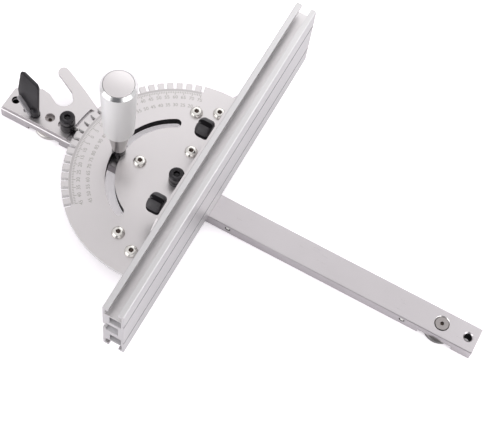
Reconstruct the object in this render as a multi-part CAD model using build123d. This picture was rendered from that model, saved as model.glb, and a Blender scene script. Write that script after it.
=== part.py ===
from build123d import *
from math import cos, radians, sin
import os

# Miter gauge: a slot bar that carries a notched protractor head, a sliding fence and an index plate.
# The origin is on the head's pivot axis, at the bar's bottom face.
# +X runs along the bar to its free end, in front of the fence, and +Z is up.
# Every size is in millimetres.

# Clearances
running_fit = 0.05
sliding_gap = 0.1
free_gap = 0.3

# Guide bar
bar_width = 19.0
bar_height = 9.5
bar_front_reach = 223.5
bar_rear_overrun = 55.6
bar_edge_chamfer = 0.5
end_hole_radius = 2.7
end_hole_inset = 6.5
end_hole_countersink_radius = 3.5

# Discs under the bar that run in the wide foot of a T-slot
disc_radius = 10.9
disc_thickness = 3.5
disc_edge_chamfer = 0.4
disc_recess_depth = 3.8
disc_recess_margin = 1.3
front_disc_inset = 25.3
rear_disc_setback = 22.0
disc_screw_head_radius = 5.3
disc_screw_head_height = 2.6
disc_screw_shank_radius = 2.5
disc_screw_socket = 3.0
disc_screw_socket_depth = 1.6

# Side screws that take up the play of the bar in its slot
near_side_screw_x = 44.9
far_side_screw_inset = 49.5
side_screw_drop = 3.4
side_screw_radius = 2.0
side_screw_length = 10.0
side_screw_socket = 2.0
side_screw_socket_depth = 2.5
side_tip_radius = 1.3
side_tip_length = 1.8
side_tip_inset = 0.2

# Protractor head
head_radius = 76.2
head_thickness = 3.4
notch_first_angle = -45
notch_last_angle = 75
notch_step = 5
notch_width = 2.2
notch_depth = 4.7
arc_slot_inset = 32.1
arc_slot_width = 6.5
arc_slot_half_angle = 61

# Angle bracket between the head and the fence
foot_thickness = 3.0
foot_rim_inset = 14.2
foot_strip_rear_x = -8.0
foot_strip_end_inset = 8.2
flange_rear_x = 12.2
flange_thickness = 3.0
flange_half_length = 57.0
flange_height = 52.0
flange_corner_cut = 6.5

# Button head screws that hold the head on the bracket's foot
centre_screw_inset = 16.2
inner_screw_radius = 24.1
inner_screw_angle = 85.2
rim_screw_inset = 21.9
rim_screw_angle = 75.4
edge_screw_inset = 16.3
edge_screw_angle = 90.3
button_head_radius = 4.4
button_top_radius = 2.3
button_head_height = 2.8
button_rim_height = 0.6
button_socket = 3.0
button_socket_depth = 1.5
button_shank_radius = 2.5
button_hole_slack = 0.2

# Socket cap screws, at the pivot and in the index plate's slot
cap_screw_radius = 3.0
cap_head_radius = 5.2
cap_head_height = 6.0
cap_head_chamfer = 1.2
cap_socket = 4.0
cap_socket_depth = 3.0
cap_thread_depth = 6.0
thread_hole_spare = 1.0
pivot_bush_radius = 4.0
pivot_collar_height = 3.9

# Clamp handle, which stands on a stud through the arc slot
handle_foot_radius = 4.75
handle_foot_height = 5.4
handle_cone_height = 24.0
handle_cone_radius = 7.0
handle_heel_radius = 10.4
handle_heel_round = 1.6
handle_body_height = 53.3
handle_shoulder_radius = 12.0
handle_rim_height = 2.2
handle_rim_radius = 9.8
handle_stud_radius = 3.0
handle_stud_grip = 16.0
handle_stud_depth = 6.0
handle_cap_radius = 9.5
handle_cap_thickness = 3.0
handle_cap_rise = 0.3
handle_cap_chamfer = 0.4

# Index plate: a flat plate that slides on the bar and locks the head with its tooth.
# Its points in plan are a distance behind the head's rim and a Y value.
index_thickness = 2.7
index_tail_inset = 1.3
index_near_y = -8.4
index_step_margin = 4.3
index_step_far_y = 20.0
index_step_depth = 1.2
index_relief_width = 1.3
index_relief_depth = 0.9
index_nose_reach = 6.2
index_nose_far_y = 20.5
index_tail_far_y = 8.1
index_shoulder = (38.1, 16.8)
index_shoulder_end = (31.9, 15.9)
index_throat_start = (24.7, 11.9)
index_throat_floor = (18.2, 13.0)
index_throat_end = (15.7, 19.8)
index_arm_root = (20.0, 25.0)
index_arm_inner_end = (33.4, 31.9)
index_arm_tip = (36.7, 37.4)
index_arm_outer_end = (31.8, 39.6)
index_arm_back = (13.2, 30.9)
index_travel = 3.6
index_end_hole_radius = 2.9
index_sight_hole_radius = 3.4
index_guide_setback = 7.8
index_guide_collar_height = 7.7
index_guide_neck_radius = 3.6

# Tooth that drops into a notch of the head
tooth_width = 1.9
tooth_length = 1.9
tooth_rim_gap = 0.4
tooth_head_drop = 0.2
tooth_foot_setback = 3.6
tooth_foot_length = 3.4
tooth_foot_near_y = -7.6
tooth_foot_far_y = 2.2
tooth_foot_thickness = 1.2

# Wing lever that clamps the index plate
wing_setback = 31.7
wing_y = -3.0
wing_slot_spare = 3.5
wing_stud_radius = 2.0
wing_stud_depth = 4.8
wing_stud_grip = 5.5
wing_hub_radius = 3.0
wing_hub_height = 7.5
wing_washer_radius = 3.4
wing_washer_thickness = 1.0
wing_thickness = 2.4
wing_foot_reach = 2.7
wing_front_reach = 5.3
wing_front_height = 36.8
wing_corner_reach = 4.4
wing_corner_height = 40.4
wing_height = 47.9
wing_tip_front = 4.9
wing_tip_rear = 7.7
wing_tip_bevel = 1.4
wing_rear_reach = 11.3
wing_rear_low = 17.3
wing_rear_high = 25.0
wing_rib_thickness = 8.0
wing_rib_width = 2.0

# Fence: an extrusion with tracks in its top, bottom and rear faces
fence_length = 254.0
fence_offset = 7.1
fence_depth = 14.8
fence_height = 59.0
fence_floor_gap = 0.5
track_opening = 6.9
track_lip = 2.6
track_undercut = 11.6
track_depth = 9.3
hollow_front_wall = 2.0
hollow_width = 8.0
hollow_height = 9.2
hollow_floor = 10.4
rear_track_opening = 6.8
rear_track_lip = 2.2
rear_track_undercut = 11.0
rear_track_depth = 10.6
rear_track_rise = 0.5
groove_spacing = 27.0
groove_width = 1.6
groove_depth = 0.9
fence_edge_round = 0.7

# Bolts and lobed knobs that clamp the fence to the bracket
bolt_spacing = 64.0
bolt_radius = 3.0
bolt_head_flats = 10.0
bolt_head_height = 4.0
bolt_length = 18.0
knob_washer_radius = 6.2
knob_washer_thickness = 1.0
knob_neck_radius = 4.6
knob_neck_length = 3.6
knob_length = 10.5
knob_radius = 6.9
knob_lobes = 4
knob_flute_radius = 1.6
knob_flute_depth = 1.9
knob_edge_round = 2.0
knob_bore_spare = 1.0

# Places along the bar that follow from the sizes above
bar_rear_reach = head_radius + bar_rear_overrun
front_disc_x = bar_front_reach - front_disc_inset
rear_disc_x = -(head_radius + rear_disc_setback)
side_screw_x = (near_side_screw_x, bar_front_reach - far_side_screw_inset)
arc_slot_radius = head_radius - arc_slot_inset
handle_x = -arc_slot_radius
index_guide_x = -(head_radius + index_guide_setback)
wing_x = -(head_radius + wing_setback)

# Heights that follow from the sizes above
bar_top = bar_height
foot_bottom = bar_top + sliding_gap
head_bottom = foot_bottom + foot_thickness
head_top = head_bottom + head_thickness
index_bottom = bar_top + sliding_gap
index_top = index_bottom + index_thickness
index_step_top = index_top - index_step_depth
fence_bottom = bar_top + fence_floor_gap
fence_rear_x = flange_rear_x + flange_thickness + sliding_gap
fence_centre_z = fence_bottom + fence_height / 2
bolt_z = fence_centre_z + rear_track_rise


def block(x_range, y_range, z_range):
    """Box between a low and a high value on each axis."""
    size = [high - low for low, high in (x_range, y_range, z_range)]
    centre = [(low + high) / 2 for low, high in (x_range, y_range, z_range)]
    return Pos(*centre) * Box(*size)


def rod(radius, bottom, top, x=0.0, y=0.0):
    """Upright cylinder between two heights."""
    return Pos(x, y, (bottom + top) / 2) * Cylinder(radius, top - bottom)


def tube(outer, inner, bottom, top, x=0.0, y=0.0):
    """Upright ring between two heights."""
    return rod(outer, bottom, top, x, y) - rod(inner, bottom, top, x, y)


def hexagon(flats, depth):
    """Hexagonal prism that stands on the ground plane, given its width across flats."""
    return extrude(RegularPolygon(flats / 2, 6, major_radius=False), amount=depth)


def point_at(radius, angle):
    """Point of the head's plan at an angle that runs from the bar's rear end towards +Y."""
    return (-radius * cos(radians(angle)), radius * sin(radians(angle)))


def top_edges(solid):
    """Edges of the highest face."""
    return solid.faces().sort_by(Axis.Z)[-1].edges()


def disc_recess(x):
    """Cut across the bar's underside that holds one disc."""
    half = disc_radius + disc_recess_margin
    return block((x - half, x + half), (-bar_width, bar_width), (-1, disc_recess_depth))


def guide_bar():
    """Drawn bar with its edges broken, drilled for everything that it carries."""
    profile = chamfer(Rectangle(bar_width, bar_height).vertices(), bar_edge_chamfer)
    bar = extrude(Plane.YZ * profile, amount=bar_front_reach + bar_rear_reach)
    bar = Pos(-bar_rear_reach, 0, bar_height / 2) * bar
    for x in (bar_front_reach - end_hole_inset, end_hole_inset - bar_rear_reach):
        sink = end_hole_countersink_radius - end_hole_radius
        bar -= rod(end_hole_radius, -1, bar_top + 1, x)
        bar -= Pos(x, 0, bar_top - sink / 2) * Cone(end_hole_radius, end_hole_countersink_radius, sink)
    for x in (front_disc_x, rear_disc_x):
        bar -= disc_recess(x)
        bar -= rod(disc_screw_shank_radius, 0, bar_top, x)
        seat = bar_top - disc_screw_head_height
        bar -= rod(disc_screw_head_radius, seat, bar_top + 1, x)
    for x in (0.0, index_guide_x):
        bar -= rod(cap_screw_radius, bar_top - cap_thread_depth, bar_top, x)
    stud_hole = handle_stud_radius + running_fit
    bar -= rod(stud_hole, bar_top - handle_stud_depth - thread_hole_spare, bar_top, handle_x)
    wing_hole_floor = bar_top - wing_stud_depth - free_gap
    bar -= rod(wing_stud_radius + running_fit, wing_hole_floor, bar_top, wing_x, wing_y)
    for x in side_screw_x:
        bar -= side_bore(side_screw_radius, -bar_width, bar_width, x)
    return bar


def side_bore(radius, start, end, x):
    """Cylinder across the bar between two Y values, at the height of the side screws."""
    centre = Pos(x, (start + end) / 2, bar_top - side_screw_drop)
    return centre * Rot(90, 0, 0) * Cylinder(radius, end - start)


def slot_disc(x):
    """Turned disc that hooks under the lips of a T-slot, screwed up into its recess."""
    disc = rod(disc_radius, disc_recess_depth - disc_thickness, disc_recess_depth, x)
    disc = chamfer(disc.edges().filter_by(GeomType.CIRCLE), disc_edge_chamfer)
    return disc - rod(disc_screw_shank_radius, 0, disc_recess_depth, x)


def disc_screws():
    """Flush screws that pull the discs up against the bar."""
    screws = Compound(children=[disc_screw(front_disc_x), disc_screw(rear_disc_x)])
    return screws


def disc_screw(x):
    """Wide flat head in the bar's counterbore, and a shank down into the disc."""
    seat = bar_top - disc_screw_head_height
    head = rod(disc_screw_head_radius, seat, bar_top, x)
    shank = rod(disc_screw_shank_radius, disc_recess_depth - disc_thickness, seat, x)
    socket = hexagon(disc_screw_socket, disc_screw_socket_depth)
    return head + shank - Pos(x, 0, bar_top - disc_screw_socket_depth) * socket


def side_set_screws():
    """Grub screws that lie across the bar, with their sockets on the far side."""
    start = side_tip_inset + side_tip_length - bar_width / 2
    screws = []
    for x in side_screw_x:
        screw = side_bore(side_screw_radius, start, start + side_screw_length, x)
        mouth = Pos(x, start + side_screw_length, bar_top - side_screw_drop) * Rot(90, 0, 0)
        screws.append(screw - mouth * hexagon(side_screw_socket, side_screw_socket_depth))
    return Compound(children=screws)


def set_screw_tips():
    """Nylon tips that rub on the wall of the table's slot."""
    start = side_tip_inset - bar_width / 2
    tips = [side_bore(side_tip_radius, start, start + side_tip_length, x) for x in side_screw_x]
    return Compound(children=tips)


def bracket_screw_places():
    """Plan positions of the button head screws, the same on both sides of the bar."""
    places = [point_at(arc_slot_radius - centre_screw_inset, 0)]
    for side in (-1, 1):
        places.append(point_at(inner_screw_radius, side * inner_screw_angle))
        places.append(point_at(head_radius - rim_screw_inset, side * rim_screw_angle))
        places.append(point_at(head_radius - edge_screw_inset, side * edge_screw_angle))
    return places


def arc_slot():
    """Curved slot round the pivot that the clamp stud runs in."""
    path = CenterArc((0, 0), arc_slot_radius, 180 - arc_slot_half_angle, 2 * arc_slot_half_angle)
    return SlotArc(path, arc_slot_width)


def head_notch(angle):
    """Radial slot that opens at the rim, at one angle of the comb."""
    reach = notch_depth + head_radius
    centre = point_at(head_radius - notch_depth + reach / 2, angle)
    return Pos(*centre) * Rot(0, 0, -angle) * Rectangle(reach, notch_width)


def head_plate():
    """Protractor plate with a comb of notches in its rim and an arc slot for the clamp stud."""
    width = head_radius + flange_rear_x
    outline = Circle(head_radius) & Pos(flange_rear_x - width / 2, 0) * Rectangle(width, 2 * head_radius)
    for angle in range(notch_first_angle, notch_last_angle + notch_step, notch_step):
        outline -= head_notch(angle)
    outline -= arc_slot()
    outline -= Circle(pivot_bush_radius + running_fit)
    for place in bracket_screw_places():
        outline -= Pos(*place) * Circle(button_shank_radius + button_hole_slack)
    return Pos(0, 0, head_bottom) * extrude(outline, amount=head_thickness)


def flange_hole(radius, start_x, end_x, side):
    """Cylinder along X at one of the two clamp bolts."""
    centre = Pos((start_x + end_x) / 2, side * bolt_spacing / 2, bolt_z)
    return centre * Rot(0, 90, 0) * Cylinder(radius, end_x - start_x)


def fence_bracket():
    """Angle bracket: a foot between bar and head, and an upright flange behind the fence."""
    front_x = flange_rear_x + flange_thickness
    foot = Circle(head_radius - foot_rim_inset)
    strip_width = front_x - foot_strip_rear_x
    strip_x = (front_x + foot_strip_rear_x) / 2
    foot += Pos(strip_x, 0) * Rectangle(strip_width, 2 * (head_radius - foot_strip_end_inset))
    foot &= Pos(front_x - head_radius, 0) * Rectangle(2 * head_radius, 2 * head_radius)
    foot -= arc_slot()
    foot -= Circle(pivot_bush_radius + running_fit)
    for place in bracket_screw_places():
        foot -= Pos(*place) * Circle(button_shank_radius)
    bracket = Pos(0, 0, foot_bottom) * extrude(foot, amount=foot_thickness)
    top = bar_top + flange_height
    low = top - flange_corner_cut
    short = flange_half_length - flange_corner_cut
    outline = Polyline(
        (-flange_half_length, foot_bottom),
        (-flange_half_length, low),
        (-short, top),
        (short, top),
        (flange_half_length, low),
        (flange_half_length, foot_bottom),
        close=True,
    )
    flange = extrude(Plane.YZ * make_face(outline), amount=flange_thickness)
    bracket += Pos(flange_rear_x, 0, 0) * flange
    for side in (-1, 1):
        bracket -= flange_hole(bolt_radius, flange_rear_x, front_x, side)
    return bracket


def bracket_screws():
    """Button head screws down through the head into the bracket's foot."""
    return Compound(children=[button_screw(x, y) for x, y in bracket_screw_places()])


def button_screw(x, y):
    """One button head screw with its hexagonal socket."""
    rim_top = head_top + button_rim_height
    top = head_top + button_head_height
    crown = Cone(button_head_radius, button_top_radius, top - rim_top)
    head = rod(button_head_radius, head_top, rim_top, x, y) + Pos(x, y, (rim_top + top) / 2) * crown
    head -= Pos(x, y, top - button_socket_depth) * hexagon(button_socket, button_socket_depth)
    return head + rod(button_shank_radius, foot_bottom + free_gap, head_top, x, y)


def pivot_bush():
    """Plain bush that the head and the bracket turn on, as tall as both and their running gap."""
    return tube(pivot_bush_radius, cap_screw_radius, bar_top, head_top + sliding_gap)


def pivot_collar():
    """Spacer under the pivot screw's head, which keeps the head on its bush."""
    bottom = head_top + sliding_gap
    return tube(cap_head_radius, cap_screw_radius, bottom, bottom + pivot_collar_height)


def cap_screw(x, seat):
    """Socket cap screw whose head sits at a height and whose thread ends in the bar."""
    top = seat + cap_head_height
    head = chamfer(top_edges(rod(cap_head_radius, seat, top, x)), cap_head_chamfer)
    head -= Pos(x, 0, top - cap_socket_depth) * hexagon(cap_socket, cap_socket_depth)
    return head + rod(cap_screw_radius, bar_top - cap_thread_depth, seat, x)


def pivot_screw():
    """Cap screw that holds bush and collar down on the bar."""
    return cap_screw(0.0, head_top + sliding_gap + pivot_collar_height)


def index_guide_screw():
    """Cap screw that holds the index plate's guide collar on the bar."""
    return cap_screw(index_guide_x, index_top + sliding_gap + index_guide_collar_height)


def index_guide_collar():
    """Turned collar whose neck guides the index plate's slot and carries the collar clear of it."""
    shoulder = index_top + sliding_gap
    collar = rod(cap_head_radius, shoulder, shoulder + index_guide_collar_height, index_guide_x)
    collar += rod(index_guide_neck_radius, bar_top, shoulder, index_guide_x)
    return collar - rod(cap_screw_radius, bar_top, shoulder + index_guide_collar_height, index_guide_x)


def handle_foot_z():
    """Height of the handle's lower end, on top of its collar."""
    return head_top + sliding_gap + handle_foot_height


def handle_top_z():
    """Height of the rim round the handle's cap."""
    return handle_foot_z() + handle_cone_height + handle_body_height + handle_rim_height


def handle_grip():
    """Turned grip: a cone, a flat shoulder, and a slightly flared body with a bevelled rim."""
    foot = handle_foot_z()
    waist = foot + handle_cone_height
    shoulder = waist + handle_body_height
    heel_centre_z = waist + handle_heel_round
    bulge = handle_heel_round * sin(radians(45))
    heel_start = handle_heel_radius - handle_heel_round
    cone = Polyline(
        (0, handle_top_z()),
        (0, foot),
        (handle_foot_radius, foot),
        (handle_cone_radius, waist),
        (heel_start, waist),
    )
    heel = ThreePointArc(
        (heel_start, waist),
        (heel_start + bulge, heel_centre_z - bulge),
        (handle_heel_radius, heel_centre_z),
    )
    body = Polyline(
        (handle_heel_radius, heel_centre_z),
        (handle_shoulder_radius, shoulder),
        (handle_rim_radius, handle_top_z()),
        (0, handle_top_z()),
    )
    profile = make_face(Curve() + [cone, heel, body])
    grip = Pos(handle_x, 0, 0) * revolve(Plane.XZ * profile, Axis.Z)
    grip -= rod(handle_stud_radius, foot, foot + handle_stud_grip, handle_x)
    recess = handle_top_z() + handle_cap_rise - handle_cap_thickness
    return grip - rod(handle_cap_radius, recess, handle_top_z() + 1, handle_x)


def handle_cap():
    """Flat disc pressed into the top of the grip."""
    top = handle_top_z() + handle_cap_rise
    cap = rod(handle_cap_radius, top - handle_cap_thickness, top, handle_x)
    return chamfer(top_edges(cap), handle_cap_chamfer)


def handle_stud():
    """Threaded stud from the grip through the arc slot into the bar."""
    return rod(handle_stud_radius, bar_top - handle_stud_depth, handle_foot_z() + handle_stud_grip, handle_x)


def handle_collar():
    """Clamp collar that spans the arc slot."""
    return tube(handle_foot_radius, handle_stud_radius, head_top + sliding_gap, handle_foot_z(), handle_x)


def travel_slot(x, y, radius, spare=0.0):
    """Slot in the index plate that lets it slide past a fixed round post."""
    width = 2 * (radius + running_fit)
    travel = index_travel + spare
    return Pos(x - travel / 2, y) * SlotOverall(width + travel + 2 * sliding_gap, width)


def behind_rim(point):
    """Point in plan, from its distance behind the head's rim and its Y value."""
    return (-(head_radius + point[0]), point[1])


def index_outline():
    """Plan of the index plate: a tail on the bar, a deep throat and a hooked arm."""
    nose_x = index_nose_reach - head_radius
    rear_x = index_tail_inset - bar_rear_reach
    throat_start = behind_rim(index_throat_start)
    throat_end = behind_rim(index_throat_end)
    tip_start = behind_rim(index_arm_inner_end)
    tip_end = behind_rim(index_arm_outer_end)
    tail = Polyline(
        (nose_x, index_near_y),
        (rear_x, index_near_y),
        (rear_x, index_tail_far_y),
        behind_rim(index_shoulder),
        behind_rim(index_shoulder_end),
        throat_start,
    )
    throat = ThreePointArc(throat_start, behind_rim(index_throat_floor), throat_end)
    inner_arm = Polyline(throat_end, behind_rim(index_arm_root), tip_start)
    tip = ThreePointArc(tip_start, behind_rim(index_arm_tip), tip_end)
    outer_arm = Polyline(
        tip_end,
        behind_rim(index_arm_back),
        (nose_x, index_nose_far_y),
        (nose_x, index_near_y),
    )
    return make_face(Curve() + [tail, throat, inner_arm, tip, outer_arm])


def index_plate():
    """Flat plate, stepped down in front so that it passes under the head's rim."""
    outline = index_outline()
    outline -= travel_slot(index_guide_x, 0, index_guide_neck_radius)
    outline -= travel_slot(wing_x, wing_y, wing_stud_radius, wing_slot_spare)
    outline -= Pos(end_hole_inset - bar_rear_reach, 0) * Circle(index_end_hole_radius)
    outline -= Pos(rear_disc_x, 0) * Circle(index_sight_hole_radius)
    plate = Pos(0, 0, index_bottom) * extrude(outline, amount=index_thickness)
    step_radius = head_radius + index_step_margin
    step_low_y = index_near_y - 1
    step_height = index_step_far_y - step_low_y
    window = Pos(-step_radius / 2, (index_step_far_y + step_low_y) / 2) * Rectangle(step_radius, step_height)
    step = Circle(step_radius) & window
    plate -= Pos(0, 0, index_step_top) * extrude(step, amount=index_step_depth + 1)
    relief = (Circle(step_radius) - Circle(step_radius - index_relief_width)) & window
    return plate - Pos(0, 0, index_step_top - index_relief_depth) * extrude(relief, amount=index_thickness)


def index_tooth():
    """Hardened tooth with a flat foot that lies on the plate's step, under the rim."""
    tip_x = -(head_radius + tooth_rim_gap)
    rear_x = tip_x - tooth_length
    half = tooth_width / 2
    tooth = block((rear_x, tip_x), (-half, half), (index_step_top, head_top - tooth_head_drop))
    foot_top = index_step_top + tooth_foot_thickness
    foot_x = -(head_radius + tooth_foot_setback)
    foot_y = (tooth_foot_near_y, tooth_foot_far_y)
    return tooth + block((foot_x, foot_x + tooth_foot_length), foot_y, (index_step_top, foot_top))


def wing_bottom_z():
    """Height of the wing lever's hub, on its washer."""
    return index_top + sliding_gap + wing_washer_thickness


def wing_lever():
    """Moulded flag on a round stem, with a thicker rib along its sloping lower edge."""
    bottom = wing_bottom_z()
    rib_end = (wing_x - wing_rear_reach, bottom + wing_rear_low)
    rib_start = (wing_x - wing_hub_radius, bottom)
    flag = Polyline(
        (wing_x + wing_foot_reach, bottom),
        (wing_x + wing_front_reach, bottom + wing_front_height),
        (wing_x + wing_corner_reach, bottom + wing_corner_height),
        (wing_x - wing_tip_front, bottom + wing_height),
        (wing_x - wing_tip_rear, bottom + wing_height - wing_tip_bevel),
        (wing_x - wing_rear_reach, bottom + wing_rear_high),
        rib_end,
        rib_start,
        close=True,
    )
    rib = Polyline(
        rib_start,
        rib_end,
        (rib_end[0] + wing_rib_width, rib_end[1] + wing_rib_width),
        (rib_start[0] + wing_rib_width, rib_start[1] + wing_rib_width),
        (rib_start[0] + wing_rib_width, bottom),
        close=True,
    )
    lever = Pos(0, wing_y, 0) * extrude(Plane.XZ * make_face(flag), amount=wing_thickness / 2, both=True)
    lever += Pos(0, wing_y, 0) * extrude(Plane.XZ * make_face(rib), amount=wing_rib_thickness / 2, both=True)
    lever += rod(wing_hub_radius, bottom, bottom + wing_hub_height, wing_x, wing_y)
    return lever - rod(wing_stud_radius, bottom, bottom + wing_stud_grip, wing_x, wing_y)


def wing_stud():
    """Threaded stud from the lever's stem through the index plate into the bar."""
    top = wing_bottom_z() + wing_stud_grip
    return rod(wing_stud_radius, bar_top - wing_stud_depth, top, wing_x, wing_y)


def wing_washer():
    """Washer under the stem that bears on both sides of the plate's slot."""
    bottom = index_top + sliding_gap
    return tube(wing_washer_radius, wing_stud_radius, bottom, wing_bottom_z(), wing_x, wing_y)


def fence_profile():
    """Cross-section of the fence: tracks in the top, bottom and rear, hollows between, grooves in front."""
    centre_x = fence_rear_x + fence_depth / 2
    front_x = fence_rear_x + fence_depth
    profile = Rectangle(fence_depth, fence_height)
    profile = fillet(profile.vertices(), fence_edge_round)
    section = Pos(centre_x, fence_centre_z) * profile
    for side in (-1, 1):
        face_z = fence_centre_z + side * fence_height / 2
        mouth_z = face_z - side * track_lip / 2
        floor_z = face_z - side * (track_lip + track_depth) / 2
        section -= Pos(centre_x, mouth_z) * Rectangle(track_opening, track_lip)
        section -= Pos(centre_x, floor_z) * Rectangle(track_undercut, track_depth - track_lip)
        hollow_x = front_x - hollow_front_wall - hollow_width / 2
        hollow_z = face_z - side * (hollow_floor + hollow_height / 2)
        section -= Pos(hollow_x, hollow_z) * Rectangle(hollow_width, hollow_height)
        groove_z = fence_centre_z + side * groove_spacing / 2
        groove = Polyline(
            (front_x, groove_z - groove_width / 2),
            (front_x - groove_depth, groove_z),
            (front_x, groove_z + groove_width / 2),
            close=True,
        )
        section -= make_face(groove)
    lip_x = fence_rear_x + rear_track_lip / 2
    cave_x = fence_rear_x + (rear_track_lip + rear_track_depth) / 2
    section -= Pos(lip_x, bolt_z) * Rectangle(rear_track_lip, rear_track_opening)
    section -= Pos(cave_x, bolt_z) * Rectangle(rear_track_depth - rear_track_lip, rear_track_undercut)
    return section


def fence():
    """The profile drawn out along Y."""
    bar = extrude(Plane.XZ * fence_profile(), amount=fence_length / 2, both=True)
    return Pos(0, fence_offset, 0) * bar


def tee_bolt(side):
    """Hexagon bolt whose head slides in the fence's rear track."""
    seat_x = fence_rear_x + rear_track_lip + free_gap
    bolt = flange_hole(bolt_radius, seat_x - bolt_length, seat_x, side)
    head = Pos(seat_x, side * bolt_spacing / 2, bolt_z) * Rot(0, 90, 0) * Rot(0, 0, 30)
    return bolt + head * hexagon(bolt_head_flats, bolt_head_height)


def knob_washers():
    """Washers between the knobs and the flange."""
    start_x = flange_rear_x - knob_washer_thickness
    washers = []
    for side in (-1, 1):
        washer = flange_hole(knob_washer_radius, start_x, flange_rear_x, side)
        washers.append(washer - flange_hole(bolt_radius, start_x, flange_rear_x, side))
    return Compound(children=washers)


def knob(side):
    """Lobed clamp knob with a round neck, bored for the bolt."""
    neck_x = flange_rear_x - knob_washer_thickness - sliding_gap
    body_x = neck_x - knob_neck_length
    tail_x = body_x - knob_length
    bolt_end_x = fence_rear_x + rear_track_lip + free_gap - bolt_length
    outline = Circle(knob_radius)
    for index in range(knob_lobes):
        turn = Rot(0, 0, index * 360 / knob_lobes)
        flute_x = knob_radius - knob_flute_depth + knob_flute_radius
        outline -= turn * Pos(flute_x, 0) * Circle(knob_flute_radius)
    blank = rod(knob_radius, 0, knob_length)
    blank = fillet(blank.edges().filter_by(GeomType.CIRCLE), knob_edge_round)
    body = blank & extrude(outline, amount=knob_length)
    body = Pos(tail_x, side * bolt_spacing / 2, bolt_z) * Rot(0, 90, 0) * body
    body += flange_hole(knob_neck_radius, body_x, neck_x, side)
    return body - flange_hole(bolt_radius + running_fit, bolt_end_x - knob_bore_spare, neck_x, side)


pieces = {
    "guide_bar": guide_bar(),
    "front_slot_disc": slot_disc(front_disc_x),
    "rear_slot_disc": slot_disc(rear_disc_x),
    "disc_screws": disc_screws(),
    "side_set_screws": side_set_screws(),
    "set_screw_tips": set_screw_tips(),
    "pivot_bush": pivot_bush(),
    "pivot_collar": pivot_collar(),
    "pivot_screw": pivot_screw(),
    "index_guide_collar": index_guide_collar(),
    "index_guide_screw": index_guide_screw(),
    "head_plate": head_plate(),
    "fence_bracket": fence_bracket(),
    "bracket_screws": bracket_screws(),
    "left_tee_bolt": tee_bolt(-1),
    "right_tee_bolt": tee_bolt(1),
    "knob_washers": knob_washers(),
    "handle_grip": handle_grip(),
    "handle_cap": handle_cap(),
    "handle_stud": handle_stud(),
    "handle_collar": handle_collar(),
    "index_plate": index_plate(),
    "index_tooth": index_tooth(),
    "wing_lever": wing_lever(),
    "wing_stud": wing_stud(),
    "wing_washer": wing_washer(),
    "fence": fence(),
    "left_knob": knob(-1),
    "right_knob": knob(1),
}

os.makedirs("parts", exist_ok=True)
for name, piece in pieces.items():
    export_step(piece, f"parts/{name}.step")
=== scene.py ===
from math import atan2, cos, degrees, pi, radians, sin, sqrt, tau

import bmesh
import bpy
from mathutils import Matrix, Vector


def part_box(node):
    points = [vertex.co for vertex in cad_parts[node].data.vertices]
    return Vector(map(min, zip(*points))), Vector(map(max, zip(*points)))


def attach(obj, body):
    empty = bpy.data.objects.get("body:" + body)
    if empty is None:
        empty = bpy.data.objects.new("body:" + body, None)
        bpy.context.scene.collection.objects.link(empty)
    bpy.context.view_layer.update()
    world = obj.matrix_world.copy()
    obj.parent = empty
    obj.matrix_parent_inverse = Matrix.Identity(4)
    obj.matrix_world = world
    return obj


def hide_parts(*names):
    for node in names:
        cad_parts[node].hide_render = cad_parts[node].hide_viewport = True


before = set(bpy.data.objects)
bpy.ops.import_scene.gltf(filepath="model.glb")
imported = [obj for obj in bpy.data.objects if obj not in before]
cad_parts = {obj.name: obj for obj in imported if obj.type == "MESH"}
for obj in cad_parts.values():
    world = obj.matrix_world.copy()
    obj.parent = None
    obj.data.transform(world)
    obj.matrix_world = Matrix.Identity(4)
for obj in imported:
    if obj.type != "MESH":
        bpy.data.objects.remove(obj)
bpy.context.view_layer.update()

# Camera. It looks steeply down on the gauge from its near side, with the bar's free end
# at the lower right, as the photograph does.
MM = 0.001
CAMERA_PLACE = Vector((168.777, -358.259, 777.918)) * MM
CAMERA_TURN = (26.304, -4.815, 28.115)
LENS = 94.172
FRAME_SHIFT = (0.007415, -0.014933)
SENSOR_WIDTH = 36
NEAR_CLIP = 0.05

camera = bpy.data.objects.new("camera", bpy.data.cameras.new("camera"))
bpy.context.scene.collection.objects.link(camera)
camera.location = CAMERA_PLACE
camera.rotation_euler = [radians(angle) for angle in CAMERA_TURN]
camera.data.sensor_width = SENSOR_WIDTH
camera.data.lens = LENS
camera.data.shift_x, camera.data.shift_y = FRAME_SHIFT
camera.data.clip_start = NEAR_CLIP
bpy.context.scene.camera = camera
bpy.context.scene.view_settings.view_transform = "Standard"

# Studio. The gauge lies on white paper in a white room. Two soft boxes flank the
# photographer, whose own dark shape shows in polished edges, and two light it from behind.
FLOOR_HALF = 4.0
PAPER_WHITE = (0.89, 0.87, 0.895, 1)
PAPER_ROUGHNESS = 0.9
PAPER_GLOW = 0.46
SHELTERED_GLOW = 0.29
GLOW_TINT = (1, 0.97, 1, 1)
SHELTER_REACH = 60 * MM
SHELTER_RANGE = (0.15, 0.4)
SHELTER_SAMPLES = 8
ROOM_LOW = (0.7, 0.69, 0.7, 1)
ROOM_HIGH = (0.9, 0.885, 0.895, 1)
BACKDROP_WHITE = (1, 1, 1, 1)
PHOTOGRAPHER = (-71.5, 24.0)
PHOTOGRAPHER_EDGES = (30, 14)
PHOTOGRAPHER_SHADE = (0.17, 0.17, 0.18, 1)
# Azimuth, elevation, distance, width and power of each
SOFT_BOXES = {
    "left_box": (-126, 24, 1.5, 1.1, 6.5),
    "right_box": (-15, 24, 1.5, 1.1, 6.5),
    "far_box": (38, 38, 1.7, 1.1, 8.0),
    "back_box": (105, 37, 1.7, 1.2, 4.2),
}


def heading(azimuth, elevation):
    """Unit vector at an azimuth from +X and an elevation above the floor."""
    turn, rise = radians(azimuth), radians(elevation)
    return Vector((cos(rise) * cos(turn), cos(rise) * sin(turn), sin(rise)))


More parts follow.
